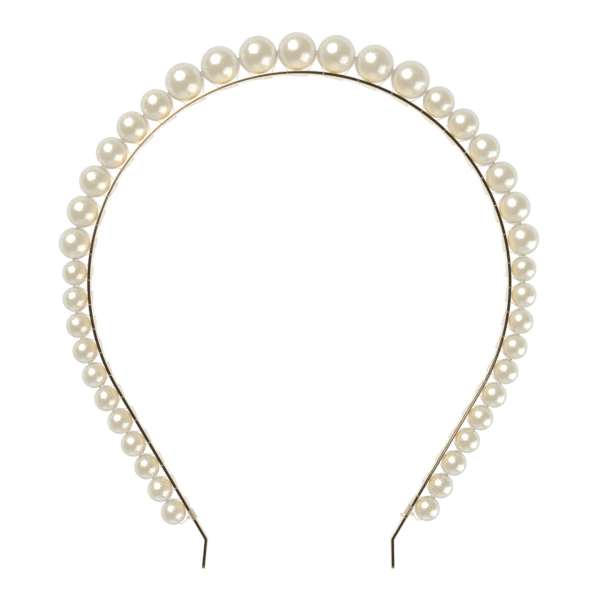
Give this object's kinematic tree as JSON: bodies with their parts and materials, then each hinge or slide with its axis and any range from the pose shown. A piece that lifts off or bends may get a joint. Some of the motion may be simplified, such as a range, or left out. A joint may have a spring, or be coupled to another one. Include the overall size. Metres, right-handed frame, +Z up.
{
  "type": "headband",
  "caption": "Slim metal headband with a graduated row of round pearls strung and lashed along the outside of a springy curved strip with bent-in tips.",
  "frame": {"origin": "middle of the band between its two tips, level with the tips' lower ends", "axes": "+Z up towards the crown, +X across the head to the band's right side, +Y through the band's width, front edge at -Y"},
  "size_m": [0.147, 0.0116, 0.164],
  "materials": {
    "gold_strip": "polished pale gold plating on a spring strip",
    "pearl": "glossy ivory pearl lacquer",
    "clear_line": "clear monofilament"
  },
  "bodies": {
    "crown": {"crown_strip": "gold_strip", "crown_string": "clear_line", "crown_lashing": "clear_line"},
    "left_leg": {"left_leg_strip": "gold_strip", "left_leg_string": "clear_line", "left_leg_lashing": "clear_line", "left_string_knot": "clear_line"},
    "right_leg": {"right_leg_strip": "gold_strip", "right_leg_string": "clear_line", "right_leg_lashing": "clear_line", "right_string_knot": "clear_line", "right_lashing_knot": "clear_line"},
    "left_small_pearl_11": {"left_small_pearl_11": "pearl"},
    "left_small_pearl_10": {"left_small_pearl_10": "pearl"},
    "left_small_pearl_9": {"left_small_pearl_9": "pearl"},
    "left_small_pearl_8": {"left_small_pearl_8": "pearl"},
    "left_small_pearl_7": {"left_small_pearl_7": "pearl"},
    "left_small_pearl_6": {"left_small_pearl_6": "pearl"},
    "left_small_pearl_5": {"left_small_pearl_5": "pearl"},
    "left_small_pearl_4": {"left_small_pearl_4": "pearl"},
    "left_small_pearl_3": {"left_small_pearl_3": "pearl"},
    "left_small_pearl_2": {"left_small_pearl_2": "pearl"},
    "left_small_pearl_1": {"left_small_pearl_1": "pearl"},
    "left_mid_pearl_6": {"left_mid_pearl_6": "pearl"},
    "left_mid_pearl_5": {"left_mid_pearl_5": "pearl"},
    "left_mid_pearl_4": {"left_mid_pearl_4": "pearl"},
    "left_mid_pearl_3": {"left_mid_pearl_3": "pearl"},
    "left_mid_pearl_2": {"left_mid_pearl_2": "pearl"},
    "left_mid_pearl_1": {"left_mid_pearl_1": "pearl"},
    "left_crown_pearl_3": {"left_crown_pearl_3": "pearl"},
    "left_crown_pearl_2": {"left_crown_pearl_2": "pearl"},
    "left_crown_pearl_1": {"left_crown_pearl_1": "pearl"},
    "top_pearl": {"top_pearl": "pearl"},
    "right_crown_pearl_1": {"right_crown_pearl_1": "pearl"},
    "right_crown_pearl_2": {"right_crown_pearl_2": "pearl"},
    "right_crown_pearl_3": {"right_crown_pearl_3": "pearl"},
    "right_mid_pearl_1": {"right_mid_pearl_1": "pearl"},
    "right_mid_pearl_2": {"right_mid_pearl_2": "pearl"},
    "right_mid_pearl_3": {"right_mid_pearl_3": "pearl"},
    "right_mid_pearl_4": {"right_mid_pearl_4": "pearl"},
    "right_mid_pearl_5": {"right_mid_pearl_5": "pearl"},
    "right_mid_pearl_6": {"right_mid_pearl_6": "pearl"},
    "right_small_pearl_1": {"right_small_pearl_1": "pearl"},
    "right_small_pearl_2": {"right_small_pearl_2": "pearl"},
    "right_small_pearl_3": {"right_small_pearl_3": "pearl"},
    "right_small_pearl_4": {"right_small_pearl_4": "pearl"},
    "right_small_pearl_5": {"right_small_pearl_5": "pearl"},
    "right_small_pearl_6": {"right_small_pearl_6": "pearl"},
    "right_small_pearl_7": {"right_small_pearl_7": "pearl"},
    "right_small_pearl_8": {"right_small_pearl_8": "pearl"},
    "right_small_pearl_9": {"right_small_pearl_9": "pearl"},
    "right_small_pearl_10": {"right_small_pearl_10": "pearl"},
    "right_small_pearl_11": {"right_small_pearl_11": "pearl"}
  },
  "joints": [
    {"name": "left_leg_flex", "type": "hinge", "parent": "crown", "child": "left_leg", "pos_m": [-0.05425, 0, 0.13096], "axis": [0, 1, 0], "range_deg": [0, 15], "stiffness_Nm_per_rad": 0.7},
    {"name": "right_leg_flex", "type": "hinge", "parent": "crown", "child": "right_leg", "pos_m": [0.05342, 0, 0.13197], "axis": [0, -1, 0], "range_deg": [0, 15], "stiffness_Nm_per_rad": 0.7},
    {"name": "left_small_pearl_11_spin", "type": "hinge", "parent": "left_leg", "child": "left_small_pearl_11", "pos_m": [-0.03851, 0, 0.01714], "axis": [-0.5075, 0, 0.8616], "continuous": true},
    {"name": "left_small_pearl_10_spin", "type": "hinge", "parent": "left_leg", "child": "left_small_pearl_10", "pos_m": [-0.04259, 0, 0.02408], "axis": [-0.5075, 0, 0.8616], "continuous": true},
    {"name": "left_small_pearl_9_spin", "type": "hinge", "parent": "left_leg", "child": "left_small_pearl_9", "pos_m": [-0.04668, 0, 0.03102], "axis": [-0.5075, 0, 0.8616], "continuous": true},
    {"name": "left_small_pearl_8_spin", "type": "hinge", "parent": "left_leg", "child": "left_small_pearl_8", "pos_m": [-0.05076, 0, 0.03795], "axis": [-0.5075, 0, 0.8616], "continuous": true},
    {"name": "left_small_pearl_7_spin", "type": "hinge", "parent": "left_leg", "child": "left_small_pearl_7", "pos_m": [-0.05485, 0, 0.04489], "axis": [-0.5075, 0, 0.8616], "continuous": true},
    {"name": "left_small_pearl_6_spin", "type": "hinge", "parent": "left_leg", "child": "left_small_pearl_6", "pos_m": [-0.05893, 0, 0.05182], "axis": [-0.4863, 0, 0.8738], "continuous": true},
    {"name": "left_small_pearl_5_spin", "type": "hinge", "parent": "left_leg", "child": "left_small_pearl_5", "pos_m": [-0.06267, 0, 0.05895], "axis": [-0.4123, 0, 0.9111], "continuous": true},
    {"name": "left_small_pearl_4_spin", "type": "hinge", "parent": "left_leg", "child": "left_small_pearl_4", "pos_m": [-0.06556, 0, 0.06647], "axis": [-0.3033, 0, 0.9529], "continuous": true},
    {"name": "left_small_pearl_3_spin", "type": "hinge", "parent": "left_leg", "child": "left_small_pearl_3", "pos_m": [-0.06755, 0, 0.07427], "axis": [-0.1899, 0, 0.9818], "continuous": true},
    {"name": "left_small_pearl_2_spin", "type": "hinge", "parent": "left_leg", "child": "left_small_pearl_2", "pos_m": [-0.06861, 0, 0.08225], "axis": [-0.0739, 0, 0.9973], "continuous": true},
    {"name": "left_small_pearl_1_spin", "type": "hinge", "parent": "left_leg", "child": "left_small_pearl_1", "pos_m": [-0.06874, 0, 0.0903], "axis": [-0.0085, 0, 1], "continuous": true},
    {"name": "left_mid_pearl_6_spin", "type": "hinge", "parent": "left_leg", "child": "left_mid_pearl_6", "pos_m": [-0.06876, 0, 0.09935], "axis": [0.1275, 0, 0.9918], "continuous": true},
    {"name": "left_mid_pearl_5_spin", "type": "hinge", "parent": "left_leg", "child": "left_mid_pearl_5", "pos_m": [-0.06632, 0, 0.1091], "axis": [0.3118, 0, 0.9501], "continuous": true},
    {"name": "left_mid_pearl_4_spin", "type": "hinge", "parent": "left_leg", "child": "left_mid_pearl_4", "pos_m": [-0.06251, 0, 0.11839], "axis": [0.445, 0, 0.8955], "continuous": true},
    {"name": "left_mid_pearl_3_spin", "type": "hinge", "parent": "left_leg", "child": "left_mid_pearl_3", "pos_m": [-0.0574, 0, 0.12705], "axis": [0.569, 0, 0.8223], "continuous": true},
    {"name": "left_mid_pearl_2_spin", "type": "hinge", "parent": "crown", "child": "left_mid_pearl_2", "pos_m": [-0.0511, 0, 0.13488], "axis": [0.6812, 0, 0.7321], "continuous": true},
    {"name": "left_mid_pearl_1_spin", "type": "hinge", "parent": "crown", "child": "left_mid_pearl_1", "pos_m": [-0.04374, 0, 0.14172], "axis": [0.7532, 0, 0.6578], "continuous": true},
    {"name": "left_crown_pearl_3_spin", "type": "hinge", "parent": "crown", "child": "left_crown_pearl_3", "pos_m": [-0.03521, 0, 0.14875], "axis": [0.849, 0, 0.5285], "continuous": true},
    {"name": "left_crown_pearl_2_spin", "type": "hinge", "parent": "crown", "child": "left_crown_pearl_2", "pos_m": [-0.02429, 0, 0.15383], "axis": [0.9393, 0, 0.343], "continuous": true},
    {"name": "left_crown_pearl_1_spin", "type": "hinge", "parent": "crown", "child": "left_crown_pearl_1", "pos_m": [-0.01266, 0, 0.15699], "axis": [0.9839, 0, 0.1788], "continuous": true},
    {"name": "top_pearl_spin", "type": "hinge", "parent": "crown", "child": "top_pearl", "pos_m": [-0.00066, 0, 0.15813], "axis": [1, 0, 0.0093], "continuous": true},
    {"name": "right_crown_pearl_1_spin", "type": "hinge", "parent": "crown", "child": "right_crown_pearl_1", "pos_m": [0.01135, 0, 0.15721], "axis": [0.9871, 0, -0.1604], "continuous": true},
    {"name": "right_crown_pearl_2_spin", "type": "hinge", "parent": "crown", "child": "right_crown_pearl_2", "pos_m": [0.02304, 0, 0.15428], "axis": [0.9456, 0, -0.3254], "continuous": true},
    {"name": "right_crown_pearl_3_spin", "type": "hinge", "parent": "crown", "child": "right_crown_pearl_3", "pos_m": [0.03406, 0, 0.1494], "axis": [0.8587, 0, -0.5125], "continuous": true},
    {"name": "right_mid_pearl_1_spin", "type": "hinge", "parent": "crown", "child": "right_mid_pearl_1", "pos_m": [0.04272, 0, 0.14253], "axis": [0.7654, 0, -0.6436], "continuous": true},
    {"name": "right_mid_pearl_2_spin", "type": "hinge", "parent": "crown", "child": "right_mid_pearl_2", "pos_m": [0.0502, 0, 0.13583], "axis": [0.6948, 0, -0.7192], "continuous": true},
    {"name": "right_mid_pearl_3_spin", "type": "hinge", "parent": "right_leg", "child": "right_mid_pearl_3", "pos_m": [0.05665, 0, 0.12811], "axis": [0.5843, 0, -0.8115], "continuous": true},
    {"name": "right_mid_pearl_4_spin", "type": "hinge", "parent": "right_leg", "child": "right_mid_pearl_4", "pos_m": [0.06192, 0, 0.11956], "axis": [0.4617, 0, -0.887], "continuous": true},
    {"name": "right_mid_pearl_5_spin", "type": "hinge", "parent": "right_leg", "child": "right_mid_pearl_5", "pos_m": [0.0659, 0, 0.11033], "axis": [0.3295, 0, -0.9441], "continuous": true},
    {"name": "right_mid_pearl_6_spin", "type": "hinge", "parent": "right_leg", "child": "right_mid_pearl_6", "pos_m": [0.06852, 0, 0.10063], "axis": [0.146, 0, -0.9893], "continuous": true},
    {"name": "right_small_pearl_1_spin", "type": "hinge", "parent": "right_leg", "child": "right_small_pearl_1", "pos_m": [0.06867, 0, 0.09158], "axis": [0.0101, 0, -0.9999], "continuous": true},
    {"name": "right_small_pearl_2_spin", "type": "hinge", "parent": "right_leg", "child": "right_small_pearl_2", "pos_m": [0.06869, 0, 0.08353], "axis": [-0.0552, 0, -0.9985], "continuous": true},
    {"name": "right_small_pearl_3_spin", "type": "hinge", "parent": "right_leg", "child": "right_small_pearl_3", "pos_m": [0.06778, 0, 0.07553], "axis": [-0.1715, 0, -0.9852], "continuous": true},
    {"name": "right_small_pearl_4_spin", "type": "hinge", "parent": "right_leg", "child": "right_small_pearl_4", "pos_m": [0.06594, 0, 0.0677], "axis": [-0.2854, 0, -0.9584], "continuous": true},
    {"name": "right_small_pearl_5_spin", "type": "hinge", "parent": "right_leg", "child": "right_small_pearl_5", "pos_m": [0.06319, 0, 0.06013], "axis": [-0.3954, 0, -0.9185], "continuous": true},
    {"name": "right_small_pearl_6_spin", "type": "hinge", "parent": "right_leg", "child": "right_small_pearl_6", "pos_m": [0.05958, 0, 0.05293], "axis": [-0.4781, 0, -0.8783], "continuous": true},
    {"name": "right_small_pearl_7_spin", "type": "hinge", "parent": "right_leg", "child": "right_small_pearl_7", "pos_m": [0.0555, 0, 0.046], "axis": [-0.5074, 0, -0.8617], "continuous": true},
    {"name": "right_small_pearl_8_spin", "type": "hinge", "parent": "right_leg", "child": "right_small_pearl_8", "pos_m": [0.05141, 0, 0.03906], "axis": [-0.5075, 0, -0.8616], "continuous": true},
    {"name": "right_small_pearl_9_spin", "type": "hinge", "parent": "right_leg", "child": "right_small_pearl_9", "pos_m": [0.04733, 0, 0.03212], "axis": [-0.5075, 0, -0.8616], "continuous": true},
    {"name": "right_small_pearl_10_spin", "type": "hinge", "parent": "right_leg", "child": "right_small_pearl_10", "pos_m": [0.04324, 0, 0.02519], "axis": [-0.5075, 0, -0.8616], "continuous": true},
    {"name": "right_small_pearl_11_spin", "type": "hinge", "parent": "right_leg", "child": "right_small_pearl_11", "pos_m": [0.03916, 0, 0.01825], "axis": [-0.5075, 0, -0.8616], "continuous": true}
  ]
}
